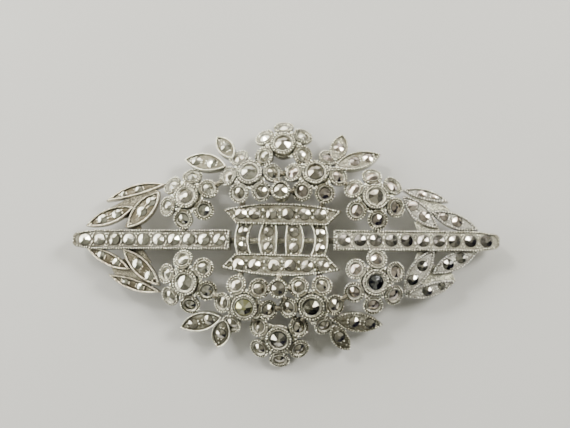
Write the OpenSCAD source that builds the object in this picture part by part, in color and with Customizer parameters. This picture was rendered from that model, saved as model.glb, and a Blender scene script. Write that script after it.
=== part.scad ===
/* [Dome] */
// Height of the dome's crown above the surface that the brooch lies on
crown_h = 6.5; // [6.4:0.05:6.8]
// Radius of the dome's curve along the bars
dome_rx = 84; // [80:1:100]
// Radius of the dome's curve across the bars
dome_ry = 38; // [37:0.5:42]

/* [Bars] */
// Distance from the middle to each bar's inner end
bar_inner = 7.45; // [7.4:0.05:7.6]
// Distance from the middle to each bar's tip
bar_outer = 30.8; // [30.6:0.1:31.2]
// Width of a bar
bar_w = 2.9; // [2.8:0.05:3]
// Thickness of a bar
bar_t = 1.8; // [1.6:0.05:1.9]
// Angle at which each bar falls towards its tip
bar_slope = 2.1; // [1.8:0.1:2.4]
// Depth of a bar's inner end below the dome's crown
bar_drop = 2.4; // [2.3:0.05:2.5]
// Diameter of the rod that links the bars behind the basket
rod_d = 0.9; // [0.8:0.05:1]
// Distance from the middle to the first bar stone
bar_stone_first = 9; // [8.9:0.05:9.1]
// Distance from one bar stone to the next
bar_stone_pitch = 2.22; // [2.2:0.01:2.24]

/* [Basket] */
// Length of a rim over its two points
rim_l = 17; // [16.8:0.1:17.2]
// Length of a rim's straight inner edge
rim_inner_l = 13; // [12.8:0.1:13.2]
// Distance from the middle line to a rim's inner edge
rim_inner_y = 2.1; // [2:0.05:2.2]
// Distance from the middle line to a rim's points
rim_point_y = 4.2; // [4.1:0.05:4.3]
// Distance from the middle line to the crest of a rim's curved edge
rim_crest_y = 5.25; // [5.2:0.05:5.35]
// Thickness of a rim
rim_t = 1.5; // [1.4:0.05:1.6]
// Depth of the rims below the dome's crown
basket_drop = 2.1; // [2:0.05:2.2]
// Thickness of a stave
stave_t = 1.2; // [1.1:0.05:1.25]
// Turn of the whole basket in its place
basket_turn = -0.9; // [-1.5:0.1:0]

/* [Flowers] */
// Distance from a flower's middle to the middle of a petal cup
petal_pitch = 3.37; // [3.3:0.01:3.4]
// Depth of a petal cup below its flower's centre cup
petal_drop = 0.87; // [0.8:0.01:0.95]
// Outward lean of a petal cup
petal_lean = 27; // [24:1:29]
// Diameter of a petal cup
cup_d = 2.96; // [2.9:0.02:3]
// Height of a petal cup
cup_h = 1.4; // [1.3:0.05:1.45]
// Diameter of a petal cup's foot
cup_foot_d = 2; // [1.8:0.05:2.1]
// Diameter of a centre cup
hub_d = 3.7; // [3.65:0.05:3.75]
// Height of a centre cup
hub_h = 2.3; // [2.2:0.05:2.35]
// Diameter of a centre cup's foot
hub_foot_d = 3.3; // [3.2:0.1:3.5]
// Diameter of a single cup
single_d = 2.75; // [2.7:0.05:2.8]

/* [Leaves] */
// Thickness of a leaf
leaf_t = 1.1; // [1:0.05:1.2]
// Width of the raised rim round a leaf
leaf_rim_w = 0.24; // [0.2:0.02:0.26]
// Depth of a flower leaf below the dome
flower_leaf_drop = 0.9; // [0.8:0.05:1]
// Depth of an end leaf below the bars' faces
end_leaf_drop = 0.3; // [0.25:0.05:0.35]
// Thickness of the plates between the end leaves
web_t = 0.6; // [0.5:0.05:0.65]

/* [Stones] */
// Diameter of a petal stone
petal_stone_d = 1.5; // [1.4:0.05:1.6]
// Diameter of a single cup's stone
single_stone_d = 1.95; // [1.85:0.05:2]
// Diameter of a bar stone
bar_stone_d = 1.6; // [1.5:0.05:1.65]
// Diameter of a rim stone
rim_stone_d = 1.6; // [1.5:0.05:1.65]
// Diameter of a stave stone
stave_stone_d = 1.3; // [1.2:0.05:1.3]
// Largest diameter of a leaf stone
leaf_stone_d = 1.4; // [1.3:0.05:1.45]
// Gap between a stone and its seat
seat_gap = 0.05; // [0.04:0.01:0.06]

/* [Pin] */
// Diameter of the pin's stem
stem_d = 0.8; // [0.7:0.05:0.85]
// Height of the stem's middle above the surface that the brooch lies on
stem_z = 0.85; // [0.82:0.01:0.9]
// Distance from the middle to the hinge rivet
hinge_x = 19; // [18:0.5:20]
// Distance from the middle to the catch
catch_x = 18; // [17:0.5:19]

/* [Hidden] */
// Each row: name, x, y, turn, centre stone's diameter, directions of the petal cups
FLOWERS = [
    ["top", 0, 14.24, 2, 2.25, [30, 90, 150, 210, 330]],
    ["bottom", -0.2, -14.26, 0, 2.2, [30, 150, 210, 270, 330]],
    ["inner_upper_left", -4.7, 9.7, 4, 2.25, [0, 120, 180, 240, 300]],
    ["inner_upper_right", 4.85, 9.7, -5, 2.25, [0, 60, 180, 240, 300]],
    ["inner_lower_left", -5.05, -9.8, -9, 2.35, [0, 60, 120, 180, 240]],
    ["inner_lower_right", 4.5, -9.7, 4, 2.1, [0, 60, 120, 180, 300]],
    ["outer_upper_left", -13.9, 6.25, 3, 2, [20, 80, 140, 200, 260, 320]],
    ["outer_upper_right", 13.45, 6.2, -4, 2, [40, 100, 160, 220, 280, 340]],
    ["outer_lower_left", -13.7, -6.35, -2, 2, [40, 100, 160, 220, 280, 340]],
    ["outer_lower_right", 13.5, -6.1, 7, 2, [20, 80, 140, 200, 260, 320]],
];
// Each row: name, x, y of a single cup
SINGLES = [["upper", -0.05, 6.95], ["lower", -0.2, -7.15]];
// Each row: quarter, base x, base y, tip x, tip y, bulge to the left and right of the
// line from base to tip, distances of the stones from the base
FLOWER_LEAVES = [
    ["upper_left", -7.3, 12, -10.2, 15.7, 1.1, 1.4, [2.4]],
    ["upper_left", -8.2, 10.8, -14.8, 12.1, 1.3, 1.6, [2.45, 4.85]],
    ["upper_right", 7.3, 11.6, 8.7, 15.9, 1.2, 1.4, [2.45]],
    ["upper_right", 7.4, 10.7, 14.2, 12.8, 1.45, 1.4, [3.2, 5.3]],
    ["lower_left", -7.9, -11.4, -9.2, -15.5, 1.35, 1.4, [2.3]],
    ["lower_left", -8.3, -11.2, -14.7, -12.7, 1.25, 1.55, [2.1, 4.5]],
    ["lower_right", 7.4, -11.9, 9.9, -15.5, 1, 1.5, [2.1]],
    ["lower_right", 7.3, -11.2, 14.5, -11.9, 1.35, 1.5, [3.15, 5.5]],
];
END_LEAVES = [
    ["upper_left", -17.3, 8.35, -26.2, 5.8, 0.45, 1.3, [4.1, 6.6]],
    ["upper_left", -21.9, 4.9, -29, 2.05, 1.15, 1.2, [2.8, 5]],
    ["upper_left", -18.2, 7.2, -22.7, 1.7, 1.45, 1.45, [1.9, 3.9]],
    ["lower_left", -17.5, -7.6, -25.4, -5.1, 1.1, 0.6, [3.2, 5.5]],
    ["lower_left", -22.1, -4.4, -28.8, -1.2, 0.95, 1, [2.4, 4.9]],
    ["lower_left", -17.7, -6.7, -23.3, -1.3, 1.25, 1.22, [2.1, 4.6]],
    ["upper_right", 17.2, 7.5, 23.8, 5.7, 1.05, 0.6, [2.9, 4.7]],
    ["upper_right", 21.3, 4.3, 27.9, 1.7, 1.1, 1.15, [1.95, 3.95]],
    ["upper_right", 17.3, 6.6, 22.2, 1.9, 1.15, 1.35, [2.1, 4.3]],
    ["lower_right", 17.3, -7.8, 24.8, -5.5, 0.7, 1.3, [3.5, 5.6]],
    ["lower_right", 21.4, -4.6, 28, -1.2, 1.4, 1.15, [2.6, 4.6]],
    ["lower_right", 17.4, -7.5, 21.7, -1.2, 1.45, 1.35, [2.35, 4.75]],
];
// Corner points of each plate between the end leaves
WEBS = [
    [[-25.6, 4.8], [-24.4, 3.2], [-22.4, 3.4], [-18.2, 7.2], [-19.7, 7.9]],
    [[-23.2, 1.9], [-20.6, 1.2], [-21.2, 3.2], [-22.6, 3.4]],
    [[-25.2, -3.6], [-22.8, -2.6], [-21, -5], [-19, -6.4], [-19.2, -7.4], [-24.3, -5.6]],
    [[-23.3, -1.3], [-20.4, -1.2], [-19, -3.4], [-21.2, -2.9]],
    [[17.6, 7.2], [19.6, 5.6], [22, 3.6], [23.2, 2.6], [24.2, 4.2], [23.4, 5.2]],
    [[18.9, 2.8], [19.4, 1.2], [22.6, 1.2], [22, 3]],
    [[19.6, -6], [21.4, -3.2], [24, -3.8], [24.6, -5.4], [21.2, -6.6]],
    [[18.9, -2.6], [19.4, -1.2], [22.2, -1.2], [21.4, -2.9]],
];
// Each row: flower, petal direction, flower, petal direction, joined by solder
CUP_LINKS = [
    ["inner_upper_left", 0, "inner_upper_right", 180],
    ["inner_lower_left", 0, "inner_lower_right", 180],
    ["inner_upper_left", 180, "outer_upper_left", 20],
    ["inner_upper_right", 0, "outer_upper_right", 160],
    ["inner_lower_left", 180, "outer_lower_left", -20],
    ["inner_lower_right", 0, "outer_lower_right", 200],
];
// Each row: flower, petal direction, x, y, depth below the crown of the metal it is soldered to
CUP_POSTS = [
    ["inner_upper_left", 240, -5.7, 4.4, 2.9],
    ["inner_upper_right", 300, 5.8, 4.4, 2.9],
    ["inner_upper_left", 300, -0.05, 6.95, 1.9],
    ["inner_upper_right", 240, -0.05, 6.95, 1.9],
    ["inner_lower_left", 120, -6.3, -4.3, 2.9],
    ["inner_lower_right", 60, 5.5, -4.3, 2.9],
    ["inner_lower_left", 60, -0.2, -7.15, 1.9],
    ["inner_lower_right", 120, -0.2, -7.15, 1.9],
    ["outer_upper_left", 260, -14.1, 0.9, 3.6],
    ["outer_upper_right", 280, 13.6, 0.9, 3.6],
    ["outer_lower_left", 100, -13.9, -0.9, 3.6],
    ["outer_lower_right", 80, 13.6, -0.9, 3.6],
    ["top", 210, -4.7, 9.7, 3],
    ["top", 330, 4.85, 9.7, 3],
    ["bottom", 150, -5.05, -9.8, 3],
    ["bottom", 30, 4.5, -9.7, 3],
];
// Places of the stones along each rim
UPPER_RIM_X = [-5.9, -3.95, -1.55, 0.9, 3.25, 5.5];
LOWER_RIM_X = [-6.05, -3.7, -0.95, 1.4, 3.8, 6.05];
// Each row: half-distances from the middle of a stave's outer edge at its ends and its
// waist, then of its inner edge. A mirrored stave stands on the other side.
STAVES = [[6.35, 6.75, 4.22, 4.75], [2.8, 3.3, 0.72, 0.53]];
QUARTERS = ["upper_left", "upper_right", "lower_left", "lower_right"];

silver = [0.78, 0.77, 0.73];
marcasite = [0.42, 0.39, 0.36];
bar_l = (bar_outer - bar_inner) / cos(bar_slope);
bar_edge_w = 0.3;
bar_recess = 0.2;
bar_tip_l = 3.1;
bar_tip_w = 2.1;
bar_tip_cut = 0.45;
rim_edge_w = 0.32;
rim_recess = 0.2;
rim_r = (pow(rim_l / 2, 2) + pow(rim_crest_y - rim_point_y, 2)) / (2 * (rim_crest_y - rim_point_y));
rim_end_run = (rim_l - rim_inner_l) / 2;
rim_end_rise = rim_point_y - rim_inner_y;
rim_stone_y = 3.7;
stave_drop = 0.25;
stave_rail_w = 0.28;
stave_recess = 0.25;
stave_end_y = rim_inner_y + 0.3;
stave_stone_y = 1.1;
cup_lip_w = 0.5;
single_lip_w = 0.3;
cup_bowl = 0.3;
hub_lip_w = 0.58;
collar_d = 4.1;
collar_z = 0.7;
leaf_recess = 0.22;
stone_back = 0.35;
girdle_rise = 0.06;
facets = 8;
table_share = 0.3;
crown_share = 0.3;
solder_d = 0.9;
hinge_gap = 0.1;
rivet_d = 0.8;
eye_d = 1.5;
eye_w = 0.9;
lug_w = 0.6;
lug_l = 2;
clearance = 0.3;
round_fn = 48;

function dome_z(x, y) = crown_h - x * x / (2 * dome_rx) - y * y / (2 * dome_ry);
function end_z(x, y) =
    crown_h - bar_drop - (abs(x) - bar_inner) * tan(bar_slope) - y * y / (2 * dome_ry) - end_leaf_drop;
function turn_x(a, v) = [v[0], v[1] * cos(a) - v[2] * sin(a), v[1] * sin(a) + v[2] * cos(a)];
function turn_y(a, v) = [v[0] * cos(a) + v[2] * sin(a), v[1], v[2] * cos(a) - v[0] * sin(a)];
function turn_z(a, v) = [v[0] * cos(a) - v[1] * sin(a), v[0] * sin(a) + v[1] * cos(a), v[2]];
function lean(x, y) = [-atan(y / dome_ry), atan(x / dome_rx)];
function flower(name) = [for (f = FLOWERS) if (f[0] == name) f][0];
// A point inside a petal cup, depth below its lip
function in_cup(f, direction, depth) =
    [f[1], f[2], dome_z(f[1], f[2])]
    + turn_y(lean(f[1], f[2])[1], turn_x(lean(f[1], f[2])[0],
        turn_z(f[3] + direction, [petal_pitch, 0, -petal_drop] + turn_y(petal_lean, [0, 0, -depth]))));
// Distance of an arc from its chord, for an arc of length l and bulge b, at distance a along the chord
function arc_r(l, b) = (l * l / 4 + b * b) / (2 * b);
function arc_y(l, b, a) = sqrt(pow(arc_r(l, b), 2) - pow(a - l / 2, 2)) - arc_r(l, b) + b;
function leaf_lean(l, ends) = [lean((l[1] + l[3]) / 2, (l[2] + l[4]) / 2)[0],
    ends ? sign(l[1]) * bar_slope : lean((l[1] + l[3]) / 2, 0)[1]];
function leaf_run(l, tilt) = [(l[3] - l[1]) / cos(tilt[1]), (l[4] - l[2]) / cos(tilt[0])];
function leaf_stone(l, length, a) =
    min(leaf_stone_d, arc_y(length, l[5], a) + arc_y(length, l[6], a) - 2 * leaf_rim_w - 4 * seat_gap);

module on_dome(x, y, turn = 0) {
    translate([x, y, dome_z(x, y)])
        rotate([lean(x, y)[0], lean(x, y)[1], 0])
            rotate([0, 0, turn])
                children();
}

module at_petals(f) {
    on_dome(f[1], f[2], f[3])
        for (direction = f[5])
            rotate([0, 0, direction])
                translate([petal_pitch, 0, -petal_drop])
                    rotate([0, petal_lean, 0])
                        children();
}

// The upper face of a bar's inner end, with +X along the bar
module at_bar(side) {
    mirror([side < 0 ? 1 : 0, 0, 0])
        translate([bar_inner, 0, crown_h - bar_drop])
            rotate([0, bar_slope, 0])
                children();
}

module at_bar_stones(side) {
    at_bar(side)
        for (i = [0:9])
            translate([(bar_stone_first - bar_inner + i * bar_stone_pitch) / cos(bar_slope), 0, -bar_recess])
                children();
}

module at_basket() {
    translate([0, 0, crown_h - basket_drop])
        rotate([0, 0, basket_turn])
            children();
}

module at_rim_stones(side) {
    at_basket()
        for (x = side > 0 ? UPPER_RIM_X : LOWER_RIM_X)
            translate([x, side * rim_stone_y, -rim_recess])
                children();
}

module at_stave_stones() {
    at_basket()
        for (s = STAVES, side = [-1, 1], y = [-stave_stone_y, stave_stone_y])
            translate([side * (s[0] + s[1] + s[2] + s[3]) / 4, y, -stave_drop - stave_recess])
                children();
}

// The middle of a leaf's upper face, with +X towards its tip
module at_leaf(l, ends) {
    mid = [(l[1] + l[3]) / 2, (l[2] + l[4]) / 2];
    tilt = leaf_lean(l, ends);
    run = leaf_run(l, tilt);
    translate([mid[0], mid[1], ends ? end_z(mid[0], mid[1]) : dome_z(mid[0], mid[1]) - flower_leaf_drop])
        rotate([tilt[0], tilt[1], 0])
            rotate([0, 0, atan2(run[1], run[0])])
                children();
}

// What fits each of a leaf's stones: a cut stone, or the seat that it is set in
module at_leaf_stones(l, ends, seat) {
    length = norm(leaf_run(l, leaf_lean(l, ends)));
    at_leaf(l, ends)
        for (a = l[7])
            translate([a - length / 2, (arc_y(length, l[5], a) - arc_y(length, l[6], a)) / 2, -leaf_recess])
                if (seat)
                    stone_seat(leaf_stone(l, length, a));
                else
                    stone(leaf_stone(l, length, a));
}

// A cut stone: a small table, a ring of main facets and a round girdle, with a flat back.
// Its girdle lies at z = 0.
module stone(d) {
    r = d / 2;
    table_r = r * table_share;
    top = crown_share * d;
    turn = 360 / facets;
    sides = 2 * facets;
    inner = table_r * cos(turn / 2);
    fall = (top - girdle_rise) / (r - inner);
    function girdle_z(a) = top - fall * (r * cos(a) - inner);
    points = concat(
        [for (i = [0:facets - 1]) [table_r * cos(turn * i), table_r * sin(turn * i), top]],
        [for (i = [0:sides - 1])
            [r * cos(turn / 2 * i), r * sin(turn / 2 * i), girdle_z(i % 2 == 0 ? turn / 2 : 0)]],
        [for (i = [0:sides - 1]) [r * cos(turn / 2 * i), r * sin(turn / 2 * i), -stone_back]]
    );
    table = [for (i = [facets - 1:-1:0]) i];
    mains = [for (i = [0:facets - 1])
        [i, (i + 1) % facets, facets + (2 * i + 2) % sides, facets + 2 * i + 1, facets + 2 * i]];
    girdle = [for (i = [0:sides - 1])
        [facets + i, facets + (i + 1) % sides, facets + sides + (i + 1) % sides, facets + sides + i]];
    back = [for (i = [0:sides - 1]) facets + sides + i];
    polyhedron(points, concat([table], mains, girdle, [back]));
}

module stone_seat(d) {
    translate([0, 0, -stone_back - seat_gap])
        cylinder(h = stone_back + seat_gap + clearance, d = d + 2 * seat_gap, $fn = round_fn);
}

// The hollow of a cup: a wide bowl inside the lip, and the stone's seat in its floor
module cup_hollow(d, lip, stone_d) {
    floor_z = -cup_bowl - stone_back - seat_gap;
    seat_r = stone_d / 2 + seat_gap;
    rotate_extrude($fn = round_fn)
        polygon([[0, floor_z], [seat_r, floor_z], [seat_r, -cup_bowl], [d / 2 - lip, -cup_bowl],
            [d / 2 - lip, clearance], [0, clearance]]);
}

module petal_cup() {
    rotate_extrude($fn = round_fn)
        polygon([[0, -cup_h], [cup_foot_d / 2, -cup_h], [cup_d / 2, -cup_h / 3], [cup_d / 2, 0], [0, 0]]);
}

module hub_cup() {
    rotate_extrude($fn = round_fn)
        polygon([[0, -hub_h], [hub_foot_d / 2, -hub_h], [collar_d / 2, -hub_h / 2],
            [collar_d / 2, -collar_z], [hub_d / 2, -collar_z + 0.2], [hub_d / 2, 0], [0, 0]]);
}

module single_cup() {
    translate([0, 0, -cup_h - 0.2])
        cylinder(h = cup_h + 0.2, d = single_d, $fn = round_fn);
}

// Outline of a bar seen from above, set in from its edge
module bar_outline(inset) {
    half = bar_w / 2 - inset;
    tip = bar_tip_w / 2 - inset;
    polygon([[inset, -half], [bar_l - bar_tip_l, -half], [bar_l - bar_tip_cut - inset, -tip],
        [bar_l - inset, -tip + bar_tip_cut], [bar_l - inset, tip - bar_tip_cut],
        [bar_l - bar_tip_cut - inset, tip], [bar_l - bar_tip_l, half], [inset, half]]);
}

module bar(side) {
    at_bar(side)
        difference() {
            translate([0, 0, -bar_t])
                linear_extrude(height = bar_t)
                    bar_outline(0);
            translate([0, 0, -bar_recess])
                linear_extrude(height = clearance)
                    bar_outline(bar_edge_w);
        }
}

// Outline of the upper rim seen from above: a straight inner edge, slanted ends and a curved outer edge
module rim_outline(inset) {
    slant = norm([rim_end_run, rim_end_rise]) / rim_end_rise * inset;
    function end_x(y) = rim_l / 2 - (rim_point_y - y) * rim_end_run / rim_end_rise - slant;
    intersection() {
        translate([0, rim_crest_y - rim_r])
            circle(r = rim_r - inset, $fn = 192);
        polygon([
            [-end_x(rim_inner_y + inset), rim_inner_y + inset],
            [end_x(rim_inner_y + inset), rim_inner_y + inset],
            [end_x(rim_crest_y), rim_crest_y],
            [-end_x(rim_crest_y), rim_crest_y],
        ]);
    }
}

module rim(side) {
    at_basket()
        mirror([0, side < 0 ? 1 : 0, 0])
            difference() {
                translate([0, 0, -rim_t])
                    linear_extrude(height = rim_t)
                        rim_outline(0);
                translate([0, 0, -rim_recess])
                    linear_extrude(height = clearance)
                        rim_outline(rim_edge_w);
            }
}

// Outline of a barrel stave seen from above, set in from its long edges
module stave_outline(s, inset, end_y) {
    steps = 8;
    function bow(y) = 1 - pow(y / rim_inner_y, 2);
    function step_y(i) = end_y * (2 * i / steps - 1);
    polygon(concat(
        [for (i = [0:steps]) [s[0] + (s[1] - s[0]) * bow(step_y(i)) - inset, step_y(i)]],
        [for (i = [steps:-1:0]) [s[2] + (s[3] - s[2]) * bow(step_y(i)) + inset, step_y(i)]]
    ));
}

module stave(s, side) {
    at_basket()
        mirror([side < 0 ? 1 : 0, 0, 0])
            translate([0, 0, -stave_drop])
                difference() {
                    translate([0, 0, -stave_t])
                        linear_extrude(height = stave_t)
                            stave_outline(s, 0, stave_end_y);
                    translate([0, 0, -stave_recess])
                        linear_extrude(height = clearance)
                            stave_outline(s, stave_rail_w, rim_inner_y - 0.05);
                }
}

// Outline of a pointed leaf between two arcs, set in from its edge
module leaf_outline(l, length, inset) {
    left_r = arc_r(length, l[5]);
    right_r = arc_r(length, l[6]);
    intersection() {
        translate([0, l[5] - left_r])
            circle(r = left_r - inset, $fn = 96);
        translate([0, right_r - l[6]])
            circle(r = right_r - inset, $fn = 96);
    }
}

module leaf(l, ends) {
    length = norm(leaf_run(l, leaf_lean(l, ends)));
    at_leaf(l, ends)
        difference() {
            translate([0, 0, -leaf_t])
                linear_extrude(height = leaf_t)
                    leaf_outline(l, length, 0);
            translate([0, 0, -leaf_recess])
                linear_extrude(height = clearance)
                    leaf_outline(l, length, leaf_rim_w);
        }
}

module web(points) {
    mid = [for (k = [0, 1]) [for (p = points) p[k]] * [for (p = points) 1] / len(points)];
    translate([0, 0, end_z(mid[0], mid[1]) - 0.45 - web_t])
        linear_extrude(height = web_t)
            polygon(points);
}

// A round solder joint from one point to another
module solder(from, to) {
    run = to - from;
    translate(from)
        rotate([0, acos(run[2] / norm(run)), atan2(run[1], run[0])])
            cylinder(h = norm(run), d = solder_d, $fn = round_fn);
}

module solder_joints() {
    depth = 0.75;
    for (k = CUP_LINKS)
        solder(in_cup(flower(k[0]), k[1], depth), in_cup(flower(k[2]), k[3], depth));
    for (k = CUP_POSTS)
        solder(in_cup(flower(k[0]), k[1], depth), [k[2], k[3], crown_h - k[4]]);
    solder([SINGLES[1][1], SINGLES[1][2], crown_h - 2.4], [SINGLES[1][1], -4.4, crown_h - 2.9]);
}

// The rod that links the bars' inner ends behind the staves
module link_rod() {
    translate([-bar_inner - 0.5, 0, crown_h - basket_drop - stave_drop - stave_t - 0.3])
        rotate([0, 90, 0])
            cylinder(h = 2 * bar_inner + 1, d = rod_d, $fn = round_fn);
}

// Two lugs on the right bar's back, with a rivet across them
module hinge() {
    lug_h = crown_h - bar_drop - bar_t + 0.3 - (hinge_x - bar_inner) * tan(bar_slope);
    for (side = [-1, 1])
        translate([hinge_x - lug_l / 2, side * (eye_w / 2 + hinge_gap + lug_w / 2) - lug_w / 2, 0])
            cube([lug_l, lug_w, lug_h]);
    translate([hinge_x, eye_w / 2 + hinge_gap + lug_w / 2, stem_z])
        rotate([90, 0, 0])
            cylinder(h = eye_w + 2 * hinge_gap + lug_w, d = rivet_d - 2 * hinge_gap, $fn = round_fn);
}

// A hook on the left bar's back, open on one side, that the pin's point lies in
module catch_hook() {
    wall = 0.35;
    inner_r = stem_d / 2 + 0.1;
    outer_r = inner_r + wall;
    post_h = crown_h - bar_drop - bar_t + 0.3 - (catch_x - bar_inner) * tan(bar_slope);
    width = 2;
    translate([-catch_x - width / 2, 0, 0])
        difference() {
            union() {
                translate([0, 0, stem_z])
                    rotate([0, 90, 0])
                        cylinder(h = width, r = outer_r, $fn = round_fn);
                translate([0, 0.3, stem_z])
                    cube([width, outer_r - 0.3, post_h - stem_z]);
            }
            translate([-clearance, 0, stem_z])
                rotate([0, 90, 0])
                    cylinder(h = width + 2 * clearance, r = inner_r, $fn = round_fn);
            translate([-clearance, -outer_r - clearance, stem_z - 0.1])
                cube([width + 2 * clearance, outer_r + clearance, outer_r + clearance]);
        }
}

module frame_metal() {
    for (side = [-1, 1]) {
        bar(side);
        rim(side);
        for (s = STAVES)
            stave(s, side);
    }
    link_rod();
    for (f = FLOWERS) {
        on_dome(f[1], f[2])
            hub_cup();
        at_petals(f)
            petal_cup();
    }
    for (s = SINGLES)
        on_dome(s[1], s[2])
            single_cup();
    for (l = FLOWER_LEAVES)
        leaf(l, false);
    for (l = END_LEAVES)
        leaf(l, true);
    for (w = WEBS)
        web(w);
    solder_joints();
    hinge();
    catch_hook();
}

module frame_seats() {
    for (f = FLOWERS) {
        on_dome(f[1], f[2])
            cup_hollow(hub_d, hub_lip_w, f[4]);
        at_petals(f)
            cup_hollow(cup_d, cup_lip_w, petal_stone_d);
    }
    for (s = SINGLES)
        on_dome(s[1], s[2])
            cup_hollow(single_d, single_lip_w, single_stone_d);
    for (side = [-1, 1]) {
        at_bar_stones(side)
            stone_seat(bar_stone_d);
        at_rim_stones(side)
            stone_seat(rim_stone_d);
    }
    at_stave_stones()
        stone_seat(stave_stone_d);
    for (l = FLOWER_LEAVES)
        at_leaf_stones(l, false, true);
    for (l = END_LEAVES)
        at_leaf_stones(l, true, true);
}

module silver_frame() {
    color(silver)
        difference() {
            frame_metal();
            frame_seats();
        }
}

// The pin: an eye round the rivet, a straight stem and a tapered point in the catch
module pin_stem() {
    point_l = 4;
    reach = hinge_x + catch_x + 2.5;
    color(silver)
        translate([hinge_x, 0, stem_z])
            difference() {
                union() {
                    rotate([90, 0, 0])
                        cylinder(h = eye_w, d = eye_d, center = true, $fn = round_fn);
                    rotate([0, -90, 0])
                        cylinder(h = reach - point_l, d = stem_d, $fn = round_fn);
                    translate([point_l - reach, 0, 0])
                        rotate([0, -90, 0])
                            cylinder(h = point_l, d1 = stem_d, d2 = 0.15, $fn = round_fn);
                }
                rotate([90, 0, 0])
                    cylinder(h = eye_w + clearance, d = rivet_d, center = true, $fn = round_fn);
            }
}

module single_stones() {
    color(marcasite)
        for (s = SINGLES)
            on_dome(s[1], s[2])
                translate([0, 0, -cup_bowl])
                    stone(single_stone_d);
}

module stave_stones() {
    color(marcasite)
        at_stave_stones()
            stone(stave_stone_d);
}

module rim_stones(side) {
    color(marcasite)
        at_rim_stones(side)
            stone(rim_stone_d);
}

module bar_stones(side) {
    color(marcasite)
        at_bar_stones(side)
            stone(bar_stone_d);
}

module centre_stone(f) {
    color(marcasite)
        on_dome(f[1], f[2], f[3])
            translate([0, 0, -cup_bowl])
                stone(f[4]);
}

module petal_stones(f) {
    color(marcasite)
        at_petals(f)
            translate([0, 0, -cup_bowl])
                stone(petal_stone_d);
}

module leaf_stones(leaves, quarter, ends) {
    color(marcasite)
        for (l = leaves)
            if (l[0] == quarter)
                at_leaf_stones(l, ends, false);
}

silver_frame();
pin_stem();
single_stones();
stave_stones();
rim_stones(1);  // upper_rim_stones
rim_stones(-1);  // lower_rim_stones
bar_stones(-1);  // left_bar_stones
bar_stones(1);  // right_bar_stones
for (f = FLOWERS)
    centre_stone(f);
for (f = FLOWERS)
    petal_stones(f);
for (q = QUARTERS)
    leaf_stones(FLOWER_LEAVES, q, false);
for (q = QUARTERS)
    leaf_stones(END_LEAVES, q, true);
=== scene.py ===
"""A floral marcasite and silver bar brooch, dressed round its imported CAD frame."""
import math

import bmesh
import bpy
import numpy as np
from mathutils import Matrix, Vector


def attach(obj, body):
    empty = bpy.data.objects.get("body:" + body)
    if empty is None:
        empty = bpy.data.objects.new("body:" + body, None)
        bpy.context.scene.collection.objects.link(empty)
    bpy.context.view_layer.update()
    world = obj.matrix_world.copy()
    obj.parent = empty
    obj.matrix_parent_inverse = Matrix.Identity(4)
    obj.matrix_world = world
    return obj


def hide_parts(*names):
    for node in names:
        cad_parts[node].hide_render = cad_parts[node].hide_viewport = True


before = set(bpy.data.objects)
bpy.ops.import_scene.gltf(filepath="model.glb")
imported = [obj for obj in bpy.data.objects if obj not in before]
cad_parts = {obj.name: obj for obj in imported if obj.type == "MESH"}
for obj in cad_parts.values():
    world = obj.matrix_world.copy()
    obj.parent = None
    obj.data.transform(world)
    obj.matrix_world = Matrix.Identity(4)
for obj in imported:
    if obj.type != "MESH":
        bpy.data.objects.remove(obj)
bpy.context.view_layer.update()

# Sizes are in millimetres until a piece is made, and a piece is in metres
MM = 0.001
chance = np.random.default_rng(7)

# The dome that the flowers lie on
CROWN_H = 6.5
DOME_RX = 84
DOME_RY = 38

# Bars
BAR_INNER = 7.45
BAR_OUTER = 30.8
BAR_W = 2.9
BAR_T = 1.8
BAR_SLOPE = 2.1
BAR_DROP = 2.4
BAR_EDGE_W = 0.3
BAR_RECESS = 0.2
BAR_TIP_L = 3.1
BAR_TIP_W = 2.1
BAR_TIP_CUT = 0.45
BAR_L = (BAR_OUTER - BAR_INNER) / math.cos(math.radians(BAR_SLOPE))
ROD_D = 0.9

# Basket
RIM_L = 17
RIM_INNER_L = 13
RIM_INNER_Y = 2.1
RIM_POINT_Y = 4.2
RIM_CREST_Y = 5.25
RIM_T = 1.5
RIM_RECESS = 0.2
RIM_EDGE_W = 0.32
BASKET_DROP = 2.1
BASKET_TURN = -0.9
STAVE_T = 1.2
STAVE_DROP = 0.25
STAVE_RECESS = 0.25
STAVE_END_Y = RIM_INNER_Y + 0.3
# Each row: x of a stave's outer edge at its ends and at its waist, then of its inner edge
STAVES = [(6.35, 6.75, 4.22, 4.75), (2.8, 3.3, 0.72, 0.53)]

# Cups
CUP_D = 2.96
CUP_H = 1.4
CUP_FOOT_D = 2
HUB_D = 3.7
HUB_H = 2.3
HUB_FOOT_D = 3.3
COLLAR_D = 4.1
COLLAR_Z = 0.7
SINGLE_D = 2.75
SINGLE_H = CUP_H + 0.2
CUP_LIP = 0.5
HUB_LIP = 0.54
SINGLE_LIP = 0.3
CUP_BAND = 0.36
HUB_BAND = 0.34
SINGLE_BAND = 0.2
CUP_BOWL = 0.3
STONE_BACK = 0.35
SEAT_GAP = 0.075
SEAT_SIDES = 28

# Leaves
LEAF_T = 1.1
LEAF_RECESS = 0.22
LEAF_EDGE_W = 0.28
END_LEAF_EDGE_W = 0.32
FLOWER_LEAF_DROP = 0.9
END_LEAF_DROP = 0.3
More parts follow.
